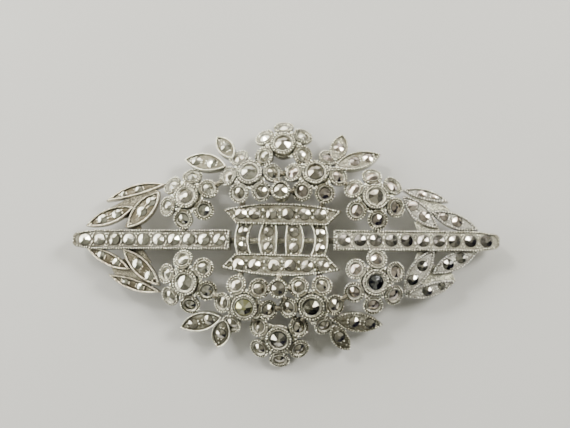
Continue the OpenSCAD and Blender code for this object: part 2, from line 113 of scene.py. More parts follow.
# The leaves of each quarter. Each: base x and y, tip x and y, bulge to the left and right
FLOWER_LEAVES = {
    "upper_left": [(-7.3, 12, -10.2, 15.7, 1.1, 1.4), (-8.2, 10.8, -14.8, 12.1, 1.3, 1.6)],
    "upper_right": [(7.3, 11.6, 8.7, 15.9, 1.2, 1.4), (7.4, 10.7, 14.2, 12.8, 1.45, 1.4)],
    "lower_left": [(-7.9, -11.4, -9.2, -15.5, 1.35, 1.4), (-8.3, -11.2, -14.7, -12.7, 1.25, 1.55)],
    "lower_right": [(7.4, -11.9, 9.9, -15.5, 1, 1.5), (7.3, -11.2, 14.5, -11.9, 1.35, 1.5)],
}
END_LEAVES = {
    "upper_left": [
        (-17.3, 8.35, -26.2, 5.8, 0.45, 1.3),
        (-21.9, 4.9, -29, 2.05, 1.15, 1.2),
        (-18.2, 7.2, -22.7, 1.7, 1.45, 1.45),
    ],
    "upper_right": [
        (17.2, 7.5, 23.8, 5.7, 1.05, 0.6),
        (21.3, 4.3, 27.9, 1.7, 1.1, 1.15),
        (17.3, 6.6, 22.2, 1.9, 1.15, 1.35),
    ],
    "lower_left": [
        (-17.5, -7.6, -25.4, -5.1, 1.1, 0.6),
        (-22.1, -4.4, -28.8, -1.2, 0.95, 1),
        (-17.7, -6.7, -23.3, -1.3, 1.25, 1.22),
    ],
    "lower_right": [
        (17.3, -7.8, 24.8, -5.5, 0.7, 1.3),
        (21.4, -4.6, 28, -1.2, 1.4, 1.15),
        (17.4, -7.5, 21.7, -1.2, 1.45, 1.35),
    ],
}
WEB_T = 0.6
# Corner points of each plate between the end leaves
WEBS = [
    [(-25.6, 4.8), (-24.4, 3.2), (-22.4, 3.4), (-18.2, 7.2), (-19.7, 7.9)],
    [(-23.2, 1.9), (-20.6, 1.2), (-21.2, 3.2), (-22.6, 3.4)],
    [(-25.2, -3.6), (-22.8, -2.6), (-21, -5), (-19, -6.4), (-19.2, -7.4), (-24.3, -5.6)],
    [(-23.3, -1.3), (-20.4, -1.2), (-19, -3.4), (-21.2, -2.9)],
    [(17.6, 7.2), (19.6, 5.6), (22, 3.6), (23.2, 2.6), (24.2, 4.2), (23.4, 5.2)],
    [(18.9, 2.8), (19.4, 1.2), (22.6, 1.2), (22, 3)],
    [(19.6, -6), (21.4, -3.2), (24, -3.8), (24.6, -5.4), (21.2, -6.6)],
    [(18.9, -2.6), (19.4, -1.2), (22.2, -1.2), (21.4, -2.9)],
]

# Pin
STEM_D = 0.8
STEM_Z = 0.85
HOOK_GAP = 0.1
HOOK_T = 0.35
HOOK_W = 2
HINGE_X = 19
CATCH_X = 18
EYE_W = 0.9
HINGE_GAP = 0.1
LUG_W = 0.6
LUG_L = 2
RIVET_D = 0.6

# Grains: half the length along the edge, half the width across it, and the height
CUP_GRAIN = (0.125, 0.19, 0.21)
EDGE_GRAIN = (0.12, 0.16, 0.17)
RIDGE_GRAIN = (0.15, 0.15, 0.17)
LEAF_PRONG = (0.165, 0.165, 0.165)
SMALL_PRONG = (0.154, 0.154, 0.154)
BAR_CLAW = (0.3, 0.15, 0.24)
BAR_BEAD = (0.2, 0.1, 0.13)
RIM_CLAW = (0.24, 0.17, 0.2)
RING_CLAW = (0.1, 0.08, 0.2)
CUP_PITCH = 0.39
EDGE_PITCH = 0.37
CLAW_PITCH = 0.13
CUP_GRAIN_INSET = 0.14
# The height of each kind of grain's foot on its plate or cup
CUP_GRAIN_Z = -0.15
HUB_GRAIN_Z = -0.16
EDGE_GRAIN_Z = -0.11
RIM_GRAIN_Z = -0.1
# How far a grain's size may be from that of its kind, as a share of it
EVEN = 0.12
ROUGH_CAST = 0.2
# The degrees of a petal cup's edge that have no grains, on the side of the flower's centre
PETAL_GAP = 50
# The polish of a point is 0 in a dull field and 1 on a bright edge. Values below 0 are painted shade in
# grain beds, stone seats and grooves
PLAIN = 0.5
GRAIN_TOP = 1.4
GRAIN_FOOT = 0.1
# Painted light on the feet of the leaves' grains, which keeps their milled edges bright beside shade
LEAF_GRAIN_FOOT = 0.7
# Painted shade in the beds under rows of grains
DARK_BED = -0.2


# Placing

def move(x, y, z):
    at = np.eye(4)
    at[:3, 3] = (x, y, z)
    return at


def turn(axis, degrees):
    return np.array(Matrix.Rotation(math.radians(degrees), 4, axis))


def dome_z(x, y):
    return CROWN_H - x * x / (2 * DOME_RX) - y * y / (2 * DOME_RY)


def end_z(x, y):
    """The height of the end leaves' upper faces at a point."""
    along = (abs(x) - BAR_INNER) * math.tan(math.radians(BAR_SLOPE))
    return CROWN_H - BAR_DROP - along - y * y / (2 * DOME_RY) - END_LEAF_DROP


def lean(x, y):
    """The degrees that the dome leans about X and about Y at a point."""
    return -math.degrees(math.atan(y / DOME_RY)), math.degrees(math.atan(x / DOME_RX))


def facing(origin, z_axis, towards):
    """A place with +Z along z_axis, and +X as near to the direction towards as it can be."""
    z = np.array(z_axis, float) / np.linalg.norm(z_axis)
    x = np.array(towards, float) - np.dot(towards, z) * z
    x /= np.linalg.norm(x)
    at = np.eye(4)
    at[:3, 0], at[:3, 1], at[:3, 2], at[:3, 3] = x, np.cross(z, x), z, origin
    return at


def seen_from(at, point):
    """A point in the axes of a place."""
    inverse = np.linalg.inv(at)
    return inverse[:3, :3] @ point + inverse[:3, 3]


def bar_place(side):
    """The middle of a bar's upper face at its inner end, with +X along the bar."""
    half_turn = turn("Z", 0 if side > 0 else 180)
    return half_turn @ move(BAR_INNER, 0, CROWN_H - BAR_DROP) @ turn("Y", BAR_SLOPE)


def basket_place(side):
    """The middle of the basket's top, turned half round for its lower rim and its left staves."""
    half_turn = turn("Z", 0 if side > 0 else 180)
    return move(0, 0, CROWN_H - BASKET_DROP) @ turn("Z", BASKET_TURN) @ half_turn


def leaf_place(row, ends):
    """The middle of a leaf's upper face, with +X towards its tip, and the leaf's length."""
    base_x, base_y, tip_x, tip_y = row[:4]
    x, y = (base_x + tip_x) / 2, (base_y + tip_y) / 2
    lean_x = lean(x, y)[0]
    lean_y = math.copysign(BAR_SLOPE, x) if ends else lean(x, 0)[1]
    run_x = (tip_x - base_x) / math.cos(math.radians(lean_y))
    run_y = (tip_y - base_y) / math.cos(math.radians(lean_x))
    z = end_z(x, y) if ends else dome_z(x, y) - FLOWER_LEAF_DROP
    spin = math.degrees(math.atan2(run_y, run_x))
    at = move(x, y, z) @ turn("Y", lean_y) @ turn("X", lean_x) @ turn("Z", spin)
    return at, math.hypot(run_x, run_y)


# Stones of the frame

WELD_M = 1e-7


class Stone:
    """Where a cut stone of the frame is: the middle of its girdle, its axis and its radius."""

    def __init__(self, points):
        middle = points.mean(axis=0)
        spread = np.cov((points - middle).T)
        axis = np.linalg.eigh(spread)[1][:, 0]
        self.axis = axis if axis[2] > 0 else -axis
        along = (points - middle) @ self.axis
        across = (points - middle) - np.outer(along, self.axis)
        self.radius = np.linalg.norm(across, axis=1).max()
        self.centre = middle + self.axis * (along.min() + STONE_BACK)


def stones_of(node):
    """The loose stones of a CAD node, in millimetres."""
    mesh = bmesh.new()
    mesh.from_mesh(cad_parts[node].data)
    bmesh.ops.remove_doubles(mesh, verts=mesh.verts, dist=WELD_M)
    left = set(mesh.verts)
    stones = []
    while left:
        island, edge = set(), [left.pop()]
        while edge:
            vert = edge.pop()
            island.add(vert)
            for link in vert.link_edges:
                other = link.other_vert(vert)
                if other in left:
                    left.remove(other)
                    edge.append(other)
        stones.append(Stone(np.array(sorted(v.co[:] for v in island)) / MM))
    mesh.free()
    return sorted(stones, key=lambda s: (round(s.centre[0], 2), round(s.centre[1], 2)))


# Shapes

GRAIN_SIDES = 6
# Rings of a grain of unit size: radius and height
GRAIN_RINGS = [(1, 0), (0.78, 0.6)]
GRAIN_PEAK = 0.95


def grain_points():
    points = []
    for r, z in GRAIN_RINGS:
        for i in range(GRAIN_SIDES):
            angle = 2 * math.pi * i / GRAIN_SIDES
            points.append((r * math.cos(angle), r * math.sin(angle), z))
    return np.array(points + [(0, 0, GRAIN_PEAK)])


def grain_faces():
    """The underside, the walls and the six sides of the top."""
    n = GRAIN_SIDES
    sides = [(i, (i + 1) % n, n + (i + 1) % n, n + i) for i in range(n)]
    tops = [(n + i, n + (i + 1) % n, 2 * n) for i in range(n)]
    return [tuple(range(n))[::-1]] + sides + tops


GRAIN_POINTS = grain_points()
GRAIN_FACES = grain_faces()


def polish_and_painted_light_of(profile):
    """The polish, with painted light and shade, of each row of a profile, which is plain where a row has
    none.
    """
    return [row[2] if len(row) > 2 else PLAIN for row in profile]


class Shape:
    """Gathers the points, the faces and the polish, with painted light and shade, of each point of one
    piece.
    """

    def __init__(self):
        self.points = []
        self.faces = []
        self.polish = []
        self.count = 0

    def add(self, points, faces, at=np.eye(4), polish=PLAIN):
        self.points.append(np.asarray(points, float) @ at[:3, :3].T + at[:3, 3])
        self.faces += [tuple(i + self.count for i in face) for face in faces]
        self.polish.append(np.broadcast_to(polish, len(points)))
        self.count += len(points)

    def loft(self, loops, at=np.eye(4), polish=PLAIN):
        """A closed skin over rings of points that run counter-clockwise, from the underside up."""
        n = len(loops[0])
        faces = [
            (k * n + i, k * n + (i + 1) % n, (k + 1) * n + (i + 1) % n, (k + 1) * n + i)
            for k in range(len(loops) - 1) for i in range(n)
        ]
        last = (len(loops) - 1) * n
        faces.append(tuple(range(n))[::-1])
        faces.append(tuple(range(last, last + n)))
        self.add(np.vstack(loops), faces, at, np.repeat(np.broadcast_to(polish, len(loops)), n))

    def lathe(self, profile, at=np.eye(4), sides=40):
        """A turned shape whose profile has a row of radius, height and polish, with painted light and
        shade, for each ring.
        """
        angles = np.linspace(0, 2 * math.pi, sides, endpoint=False)
        circle = np.column_stack([np.cos(angles), np.sin(angles), np.zeros(sides)])
        loops = [circle * row[0] + (0, 0, row[1]) for row in profile]
        self.loft(loops, at, polish_and_painted_light_of(profile))

    def plate(self, outline, profile, at=np.eye(4)):
        """A plate whose outline is set in by each step of its profile."""
        loops = []
        for row in profile:
            flat = np.array(outline(row[0]))
            loops.append(np.column_stack([flat, np.full(len(flat), row[1])]))
        self.loft(loops, at, polish_and_painted_light_of(profile))

    def grain(self, place, size, uneven=EVEN, foot=GRAIN_FOOT):
        """One grain, with its length along +X and the polish, with painted light and shade, of its foot."""
        scale = np.array(size) * (1 + chance.uniform(-uneven, uneven, 3))
        polish = np.where(GRAIN_POINTS[:, 2] > 0, GRAIN_TOP, foot)
        self.add(GRAIN_POINTS * scale, GRAIN_FACES, place, polish)

    def grain_row(self, path, size, pitch, at=np.eye(4), foot=GRAIN_FOOT):
        """Grains along a line of points, each a little off its even place."""
        path = np.asarray(path, float)
        steps = np.linalg.norm(np.diff(path, axis=0), axis=1)
        reach = np.concatenate([[0], np.cumsum(steps)])
        number = max(1, round(reach[-1] / pitch))
        stray = 0.08
        for i in range(number):
            along = (i + 0.5 + chance.uniform(-stray, stray)) / number * reach[-1]
            k = min(int(np.searchsorted(reach, along)) - 1, len(steps) - 1)
            share = (along - reach[k]) / steps[k]
            middle = path[k] + (path[k + 1] - path[k]) * share
            place = facing(middle, (0, 0, 1), path[k + 1] - path[k])
            self.grain(at @ place, size, foot=foot)

    def grain_edge(self, corners, z, size, at, foot=GRAIN_FOOT):
        """Grains along a line of flat points at one height."""
        path = np.column_stack([np.array(corners), np.full(len(corners), z)])
        self.grain_row(path, size, EDGE_PITCH, at, foot)

    def grain_ring(self, radius, z, start, end, size, pitch, at):
        """Grains along an arc from one angle to another, in degrees."""
        steps = 60
        angles = np.radians(np.linspace(start, end, steps))
        ring = np.column_stack([np.cos(angles) * radius, np.sin(angles) * radius, np.full(steps, z)])
        self.grain_row(ring, size, pitch, at)

    def mesh(self, name):
        mesh = bpy.data.meshes.new(name)
        mesh.from_pydata(np.vstack(self.points).tolist(), [], self.faces)
        polish = mesh.attributes.new("polish", "FLOAT", "POINT")
        polish.data.foreach_set("value", np.concatenate(self.polish))
        return mesh


def put(name, data):
    """A new object in the scene."""
    obj = bpy.data.objects.new(name, data)
    bpy.context.scene.collection.objects.link(obj)
    return obj


def piece(name, shape, material, replaced, sharp=40):
    """Makes a shape a piece on the one body, in metres, smooth where edges turn less than sharp degrees."""
    mesh = shape if isinstance(shape, bpy.types.Mesh) else shape.mesh(name)
    mesh.transform(Matrix.Scale(MM, 4))
    mesh.update()
    if sharp:
        mesh.shade_smooth()
        mesh.set_sharp_from_angle(angle=math.radians(sharp))
    mesh.materials.clear()
    mesh.materials.append(material)
    obj = put(name, mesh)
    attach(obj, "root")
    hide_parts(replaced)


def drilled(shape, stones):
    """The mesh of a shape with a seat cut into it for each stone, in millimetres."""
    cutter = Shape()
    low, high = -STONE_BACK - 0.05, 0.5
    for stone in stones:
        wide = stone.radius + SEAT_GAP
        at = facing(stone.centre, stone.axis, (1, 0, 0))
        cutter.lathe([(wide, low), (wide, high)], at, SEAT_SIDES)
    body = put("body", shape.mesh("body"))
    tool = put("tool", cutter.mesh("tool"))
    cut = body.modifiers.new("seats", "BOOLEAN")
    cut.operation = "DIFFERENCE"
    cut.solver = "EXACT"
    cut.object = tool
    mesh = bpy.data.meshes.new_from_object(body.evaluated_get(bpy.context.evaluated_depsgraph_get()))
    for obj in (body, tool):
        bpy.data.objects.remove(obj)
    return mesh


def add_mesh(shape, mesh):
    """Moves a mesh with its polish, with painted light and shade, into a shape."""
    points = np.empty(len(mesh.vertices) * 3)
    polish = np.empty(len(mesh.vertices))
    mesh.vertices.foreach_get("co", points)
    mesh.attributes["polish"].data.foreach_get("value", polish)
    shape.add(points.reshape(-1, 3), [tuple(p.vertices) for p in mesh.polygons], polish=polish)
    bpy.data.meshes.remove(mesh)


# Profiles, from the underside up. Each row: radius or inset, height, polish with painted light and shade
# where it isn't plain

FIELD_RISE = 0.03
FLAT_FIELD_RISE = 0.01


def cup_profile(wide, foot, height, stone_r, lip, band, flare=None):
    """A cup: foot, wall, a bed for its grains darkened with painted shade, a bright rounded ring, and the
    bowl round the stone, with painted shadow down its seat.
    """
    r = wide / 2
    crest = r - band
    bowl_gap, seat_gap = 0.1, 0.03
    inner = max(r - lip, stone_r + bowl_gap)
    bowl = min(stone_r + bowl_gap, inner - 0.02)
    seat = stone_r + seat_gap
    floor = -CUP_BOWL
    wall = flare or [(foot / 2, -height, 0.2), (r - 0.02, -height / 3, 0.2)]
    return wall + [
        (r, -0.3, 0.6),
        (r, -0.19, 0.6),
        (r - 0.04, -0.15, 0.1),
        (crest + 0.03, -0.14, -0.15),
        (crest, -0.1, 0.1),
        (crest - 0.02, -0.06, 0.4),
        (crest - 0.05, -0.03, 0.5),
        (inner + 0.04, -0.03, 0.5),
        (inner + 0.01, -0.06, 0.4),
        (inner - 0.01, -0.09, 0.4),
        (bowl, floor + 0.1, 0.4),
        (stone_r + 0.05, floor + 0.05, 0.3),
        (seat, floor, -0.5),
        (seat, floor - STONE_BACK - 0.03, -1),
    ]


def hub_wall():
    """A centre cup's wall: a drum with a collar that meets the lips of the petal cups."""
    r, foot, collar = HUB_D / 2, HUB_FOOT_D / 2, COLLAR_D / 2
    return [
        (foot - 0.1, -HUB_H, 0.2),
        (foot, -HUB_H + 0.1, 0.2),
        (collar, -HUB_H / 2, 0.2),
        (collar, -COLLAR_Z - 0.06, 0.4),
        (collar - 0.04, -COLLAR_Z, 0.5),
        (r + 0.08, -COLLAR_Z + 0.08, 0.2),
        (r + 0.01, -COLLAR_Z + 0.18, 0),
    ]


def smooth_edge(thick, width, recess):
    """The edge of a plate: a wall, a rounded rim, and the sunk field inside it, with painted shade in the
    groove at the field's edge.
    """
    return [
        (0.12, -thick),
        (0.02, -thick + 0.12),
        (0, -0.16, 0.6),
        (0.03, -0.07, 1),
        (0.09, -0.01, 1),
        (width - 0.1, -0.01, 1),
        (width - 0.04, -0.06, 0.8),
        (width, -recess + 0.05, 0.1),
        (width + 0.05, -recess, -0.2),
        (width + 0.14, -recess + FIELD_RISE, 0.1),
    ]


def milled_edge(thick, width, recess, field=FLAT_FIELD_RISE, bed=DARK_BED):
    """The edge of a plate with a bed for a row of grains instead of the rounded rim, the bed painted with
    shade by default.
    """
    return [
        (0.12, -thick),
        (0.02, -thick + 0.12),
        (0, -0.2, 0.6),
        (0.02, -0.14, 0.5),
        (0.05, -0.12, bed),
        (width - 0.04, -0.12, bed),
        (width, -recess + 0.01, 0.1),
        (width + 0.05, -recess, 0.1),
        (width + 0.14, -recess + field, 0.15),
    ]


# Outlines, each seen from above and set in from its edge

def leaf_outline(length, left, right):
    """Two arcs between a leaf's base and tip, which bulge to its left and right."""
    left_r = (length ** 2 / 4 + left ** 2) / (2 * left)
    right_r = (length ** 2 / 4 + right ** 2) / (2 * right)
    left_y, right_y = left - left_r, right_r - right
    steps = 14

    def outline(inset):
        a, b = left_r - inset, right_r - inset
        y = (a * a - b * b - left_y ** 2 + right_y ** 2) / (2 * (right_y - left_y))
        x = math.sqrt(a * a - (y - left_y) ** 2)
        upper = np.linspace(math.atan2(y - left_y, x), math.atan2(y - left_y, -x), steps, endpoint=False)
        lower = np.linspace(math.atan2(y - right_y, -x), math.atan2(y - right_y, x), steps, endpoint=False)
        return (
            [(a * math.cos(t), left_y + a * math.sin(t)) for t in upper]
            + [(b * math.cos(t), right_y + b * math.sin(t)) for t in lower]
        )

    return outline


def bar_outline(inset):
    half = BAR_W / 2 - inset
    tip = BAR_TIP_W / 2 - inset
    end = BAR_L - inset
    lower = [
        (inset, -half),
        (BAR_L - BAR_TIP_L, -half),
        (end - BAR_TIP_CUT, -tip),
        (end, -tip + BAR_TIP_CUT),
    ]
    return lower + [(x, -y) for x, y in lower[::-1]]


def rim_outline(inset):
    """A straight inner edge, two slanted ends that meet in points, and an arched outer edge."""
    run, rise = (RIM_L - RIM_INNER_L) / 2, RIM_POINT_Y - RIM_INNER_Y
    slant = math.hypot(run, rise) / rise * inset
    radius = ((RIM_L / 2) ** 2 + (RIM_CREST_Y - RIM_POINT_Y) ** 2) / (2 * (RIM_CREST_Y - RIM_POINT_Y))
    middle_y = RIM_CREST_Y - radius
    slope = run / rise

    def end_x(y):
        return RIM_L / 2 - (RIM_POINT_Y - y) * slope - slant

    # The slanted end meets the curved edge where x is end_x(y) on the circle
    a = 1 + slope ** 2
    b = 2 * slope * end_x(middle_y)
    c = end_x(middle_y) ** 2 - (radius - inset) ** 2
    rise_y = (-b + math.sqrt(b * b - 4 * a * c)) / (2 * a)
    corner = math.atan2(rise_y, end_x(middle_y + rise_y))
    steps = 25
    angles = np.linspace(corner, math.pi - corner, steps)
    inner_y = RIM_INNER_Y + inset
    inner_x = end_x(inner_y)
    arc = [((radius - inset) * math.cos(t), middle_y + (radius - inset) * math.sin(t)) for t in angles]
    return [(-inner_x, inner_y), (0, inner_y), (inner_x, inner_y)] + arc


def stave_outline(row):
    outer_end, outer_waist, inner_end, inner_waist = row
    steps = 13

    def outline(inset):
        heights = np.linspace(-STAVE_END_Y, STAVE_END_Y, steps)
        bow = 1 - (heights / RIM_INNER_Y) ** 2
        outer = outer_end + (outer_waist - outer_end) * bow - inset
        inner = inner_end + (inner_waist - inner_end) * bow + inset
        return list(zip(outer, heights)) + list(zip(inner, heights))[::-1]

    return outline


# Materials

class Nodes:
    """Makes and joins the nodes of one tree."""

    def __init__(self, tree):
        self.tree = tree

    def node(self, kind, **values):
        node = self.tree.nodes.new(kind)
        for name, value in values.items():
            if name in node.inputs:
                node.inputs[name].default_value = value
            else:
                setattr(node, name, value)
        return node

    def link(self, out, into):
        self.tree.links.new(out, into)

    def feed(self, sockets, values):
        """Gives each socket its value, or a link where the value is another node's output."""
        for socket, value in zip(sockets, values):
            if isinstance(value, bpy.types.NodeSocket):
                self.link(value, socket)
            else:
                socket.default_value = value

    def ramp(self, source, low, high, low_value=0.0, high_value=1.0):
        """A value that runs from low_value to high_value as its source runs from low to high."""
        node = self.node("ShaderNodeMapRange")
        limits = {"From Min": low, "From Max": high, "To Min": low_value, "To Max": high_value}
        for name, value in limits.items():
            node.inputs[name].default_value = value
        self.link(source, node.inputs["Value"])
        return node.outputs["Result"]

    def maths(self, operation, a, b):
        node = self.node("ShaderNodeMath", operation=operation)
        self.feed(node.inputs, (a, b))
        return node.outputs[0]

    def total(self, *terms):
        """The sum of values, each times its weight."""
        result, *others = [self.maths("MULTIPLY", value, weight) for value, weight in terms]
        for other in others:
            result = self.maths("ADD", result, other)
        return result

    def mix(self, factor, a, b):
        """A colour between two. Input 0 of the node is the factor, and 6 and 7 are the colours."""
        node = self.node("ShaderNodeMix", data_type="RGBA")
        self.feed([node.inputs[i] for i in (0, 6, 7)], (factor, a, b))
        return node.outputs[2]


class Finish(Nodes):
    """The nodes of a new material, with its texture coordinates in millimetres."""

    def __init__(self, name):
        self.material = bpy.data.materials.new(name)
        self.material.use_nodes = True
        super().__init__(self.material.node_tree)
        self.shader = self.tree.nodes["Principled BSDF"]
        coords = self.node("ShaderNodeTexCoord")
        self.place = self.node("ShaderNodeMapping", Scale=(1 / MM,) * 3)
        self.link(coords.outputs["Object"], self.place.inputs["Vector"])

    def noise(self, scale, detail=3, roughness=0.6):
        """Noise with scale in waves a millimetre."""
        noise = self.node("ShaderNodeTexNoise", Scale=scale, Detail=detail, Roughness=roughness)
        self.link(self.place.outputs["Vector"], noise.inputs["Vector"])
        return noise.outputs["Fac"]

    def cloud(self, scale, low, high, half=0.15, **kind):
        """Noise that runs from low to high, with harder edges the smaller half is."""
        return self.ramp(self.noise(scale, **kind), 0.5 - half, 0.5 + half, low, high)

    def attribute(self, name):
        return self.node("ShaderNodeAttribute", attribute_name=name).outputs["Fac"]

    def shadowed(self, reach):
        """0 in the open and 1 deep in a recess, seen over a reach in millimetres."""
        node = self.node("ShaderNodeAmbientOcclusion", Distance=reach * MM)
        node.samples = 8
        return self.ramp(node.outputs["AO"], 1.0, 0.0)

    def bump(self, height, strength, depth):
        """Relief with its depth in millimetres."""
        node = self.node("ShaderNodeBump", Strength=strength, Distance=depth * MM)
        self.link(height, node.inputs["Height"])
        self.link(node.outputs["Normal"], self.shader.inputs["Normal"])


def silver(name, bright, field, tarnish_and_shade_colour, rough, relief):
    """Cast silver: polished where it stands proud, frosty in its fields, and darkened in its recesses by
    tarnish and painted shade.
    """
    nodes = Finish(name)
    nodes.shader.inputs["Metallic"].default_value = 1.0
    polish = nodes.attribute("polish")
    patches = nodes.cloud(0.4, -0.2, 0.2)
    specks = nodes.cloud(2.6, -0.35, 0.35, half=0.14, detail=4, roughness=0.75)
    shine = nodes.maths("ADD", polish, nodes.maths("ADD", patches, specks))
    lit = nodes.mix(nodes.ramp(shine, 0.0, 1.0), (*field, 1), (*bright, 1))
    # Tarnish and painted shade gather in crevices and recesses, tarnish also in specks, and both are worn
    # off where there is polish
    tarnish_and_shade_sum = nodes.total(
        (nodes.shadowed(reach=0.25), 0.5),
        (nodes.shadowed(reach=1.2), 0.85),
        (polish, -0.3),
        (specks, 0.3),
    )
    tarnish_and_shade = nodes.ramp(tarnish_and_shade_sum, 0.12, 0.62)
    nodes.link(nodes.mix(tarnish_and_shade, lit, (*tarnish_and_shade_colour, 1)), nodes.shader.inputs["Base Color"])
    gloss = nodes.total((shine, 1), (tarnish_and_shade, -0.8))
    worn = nodes.ramp(gloss, 0.0, 1.0, low_value=rough + 0.1, high_value=rough - 0.06)
    nodes.link(worn, nodes.shader.inputs["Roughness"])
    grit = nodes.total((nodes.noise(7, detail=5, roughness=0.7), 1), (nodes.noise(2.2), 1.6))
    nodes.bump(grit, strength=relief, depth=0.08)
    return nodes.material


def cut_stone(name, dark, light, depth=1):
    """Polished marcasite with a tone for each facet. The more depth, the more of them are dark."""
    nodes = Finish(name)
    nodes.shader.inputs["Metallic"].default_value = 1.0
    facet = nodes.maths("POWER", nodes.attribute("tone"), depth)
    tone = nodes.maths("ADD", facet, nodes.cloud(1.1, -0.2, 0.2))
    nodes.link(nodes.mix(tone, (*dark, 1), (*light, 1)), nodes.shader.inputs["Base Color"])
    nodes.link(nodes.cloud(3.5, 0.1, 0.17), nodes.shader.inputs["Roughness"])
    nodes.bump(nodes.noise(5), strength=0.12, depth=0.03)
    return nodes.material


# Each row: name, colour of its bright edges, of its fields and of its tarnish and painted shade, roughness,
# relief
SILVER_ROWS = [
    ("flower", (1.0, 0.985, 0.85), (0.19, 0.178, 0.132), (0.026, 0.023, 0.017), 0.22, 1),
    ("lit", (1.0, 0.99, 0.88), (0.33, 0.315, 0.255), (0.035, 0.031, 0.024), 0.22, 1.3),
    ("bar", (0.96, 0.945, 0.84), (0.19, 0.178, 0.14), (0.03, 0.027, 0.02), 0.22, 1),
    ("leaf", (0.80, 0.75, 0.62), (0.14, 0.12, 0.082), (0.03, 0.024, 0.016), 0.22, 1),
    ("lit_frosted", (1.0, 0.99, 0.93), (0.46, 0.445, 0.39), (0.05, 0.045, 0.037), 0.24, 1.8),
    ("plate", (0.46, 0.43, 0.35), (0.12, 0.105, 0.075), (0.03, 0.024, 0.016), 0.22, 1),
    ("pin", (0.80, 0.79, 0.76), (0.66, 0.65, 0.62), (0.12, 0.11, 0.10), 0.22, 0.15),
]
SILVERS = {name: silver(name + " silver", *row) for name, *row in SILVER_ROWS}
# Two flowers have the lit silver, a brighter copy with painted light
FLOWER_SILVERS = {"inner_upper_left": "lit", "outer_lower_right": "lit"}

# Each row: name, colour of the darkest and of the lightest facets, depth
STONE_ROWS = [
    ("taupe", (0.46, 0.435, 0.385), (0.80, 0.765, 0.685), 1),
    ("pale", (0.62, 0.61, 0.54), (1.0, 0.99, 0.91), 1),
    ("rose", (0.54, 0.48, 0.45), (0.92, 0.83, 0.78), 1),
    ("shaded", (0.18, 0.17, 0.165), (0.62, 0.585, 0.55), 1),
    ("dark", (0.12, 0.12, 0.12), (0.74, 0.715, 0.66), 1),
    ("yellow", (0.56, 0.55, 0.27), (1.0, 1.0, 0.80), 1),
    ("olive", (0.20, 0.195, 0.155), (0.44, 0.425, 0.35), 1),
    ("blue", (0.01, 0.012, 0.022), (0.85, 0.87, 0.9), 3),
]
STONES = {name: cut_stone(name + " marcasite", *row) for name, *row in STONE_ROWS}
# The nodes whose stones aren't taupe. Pale stones on the left and at the top carry painted light; shaded,
# dark and olive stones on the right bar, the lower right and the bottom carry painted shade; the blue stone
# is a painted dark reflection
STONE_KINDS = {
    "centre_stone_bottom": "dark",
    "centre_stone_inner_lower_left": "yellow",
    "centre_stone_inner_lower_right": "olive",
    "centre_stone_inner_upper_left": "pale",
    "centre_stone_outer_lower_left": "pale",
    "centre_stone_outer_lower_right": "blue",
    "end_leaf_stones_lower_left": "pale",
    "end_leaf_stones_lower_right": "dark",
    "end_leaf_stones_upper_left": "pale",
    "end_leaf_stones_upper_right": "rose",
    "flower_leaf_stones_upper_left": "pale",
    "flower_leaf_stones_upper_right": "rose",
    "left_bar_stones": "pale",
    "petal_stones_inner_upper_right": "rose",
    "petal_stones_outer_lower_left": "pale",
    "petal_stones_outer_lower_right": "rose",
    "petal_stones_outer_upper_left": "pale",
    "petal_stones_outer_upper_right": "rose",
    "petal_stones_top": "pale",
    "right_bar_stones": "shaded",
}


# Stones

FACETS = 8
TABLE_SHARE = 0.3
GIRDLE_RISE = 0.06
BACK_RISE = 0.02
LEAST_CROWN = 0.18
MOST_CROWN = 0.26
MOST_TILT = 7


def add_stone(shape, stone, crown, spin, tilt, tilt_way):
    """A cut stone in the place of one of the frame's, with its crown's height as a share of its width."""
    r = stone.radius
    sides = 2 * FACETS
    half = math.pi / FACETS
    table_r = r * TABLE_SHARE
    top = crown * 2 * r
    inner = table_r * math.cos(half)
    fall = (top - GIRDLE_RISE) / (r - inner)
    angles = [2 * half * i for i in range(FACETS)]
    table = [(table_r * math.cos(a), table_r * math.sin(a), top) for a in angles]
    girdle, back = [], []
    for i in range(sides):
        off = half if i % 2 == 0 else 0
        x, y = r * math.cos(half * i), r * math.sin(half * i)
        girdle.append((x, y, top - fall * (r * math.cos(off) - inner)))
        back.append((x, y, -STONE_BACK + BACK_RISE))
    first, last = FACETS, FACETS + sides
    faces = [tuple(range(FACETS))]
    for i in range(FACETS):
        left, middle, right = 2 * i, 2 * i + 1, (2 * i + 2) % sides
        faces.append((i, first + left, first + middle, first + right, (i + 1) % FACETS))
    for i in range(sides):
        j = (i + 1) % sides
        faces.append((first + i, last + i, last + j, first + j))
    faces.append(tuple(range(last, last + sides))[::-1])
    at = facing(stone.centre, stone.axis, (1, 0, 0))
    tip = turn("Z", tilt_way) @ turn("Y", tilt) @ turn("Z", -tilt_way)
    shape.add(table + girdle + back, faces, at @ tip @ turn("Z", spin))


def make_stones(node):
    """The cut stones of one node, each facet with a tone of its own."""
    shape = Shape()
    for stone in stones_of(node):
        crown = chance.uniform(LEAST_CROWN, MOST_CROWN)
        spin = chance.uniform(0, 360 / FACETS)
        tilt = chance.uniform(0, MOST_TILT)
        add_stone(shape, stone, crown, spin, tilt, chance.uniform(0, 360))
    mesh = shape.mesh("cut_" + node)
    tone = mesh.attributes.new("tone", "FLOAT", "FACE")
    tone.data.foreach_set("value", chance.uniform(0, 1, len(shape.faces)))
    piece("cut_" + node, mesh, STONES[STONE_KINDS.get(node, "taupe")], node, sharp=None)


# Silver

def make_silver(name, shape, kind="flower"):
    piece(name, shape, SILVERS[kind], "silver_frame")


